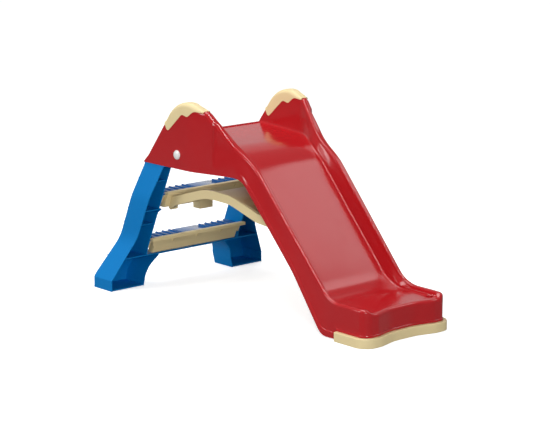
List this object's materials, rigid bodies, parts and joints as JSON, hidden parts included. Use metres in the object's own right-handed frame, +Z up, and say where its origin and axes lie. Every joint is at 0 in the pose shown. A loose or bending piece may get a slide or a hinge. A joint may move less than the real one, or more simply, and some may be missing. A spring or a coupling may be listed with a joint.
{
  "type": "toddler slide",
  "caption": "Freestanding toddler slide with a moulded chute, grab handles, a ladder that folds under the chute and a linked brace.",
  "frame": {"origin": "on the floor, in the middle of the length and width", "axes": "+X from the ladder to the exit of the chute, +Y to the left of a child who slides down, +Z up"},
  "size_m": [1.23, 0.692, 0.692],
  "materials": {
    "red": "gloss moulded",
    "cream": "satin moulded",
    "blue": "satin moulded",
    "white": "gloss",
    "steel": "plated"
  },
  "bodies": {
    "slide": {"chute": "red", "handle_cap_left": "cream", "handle_cap_right": "cream", "base_trim": "cream", "pivot_pin_left": "white", "pivot_pin_right": "white", "pin_clip_left": "steel", "pin_clip_right": "steel", "trim_screws": "steel"},
    "ladder": {"leg_left": "blue", "leg_right": "blue", "upper_step_support": "cream", "lower_step_support": "cream", "upper_tread": "blue", "lower_tread": "blue", "brace_rod_left": "steel", "brace_rod_right": "steel", "step_screws": "steel", "tread_screws": "steel"},
    "brace": {"brace": "cream"}
  },
  "joints": [
    {"name": "ladder_fold", "type": "hinge", "parent": "slide", "child": "ladder", "pos_m": [-0.25661, 0, 0.509], "axis": [0, -1, 0], "range_deg": [0, 75]},
    {"name": "brace_swing", "type": "hinge", "parent": "ladder", "child": "brace", "pos_m": [-0.38734, 0, 0.298], "axis": [0, -1, 0], "range_deg": [-103.5, 0]}
  ],
  "couplings": [
    {"joint": "brace_swing", "follows": "ladder_fold", "ratio": -1.38}
  ]
}
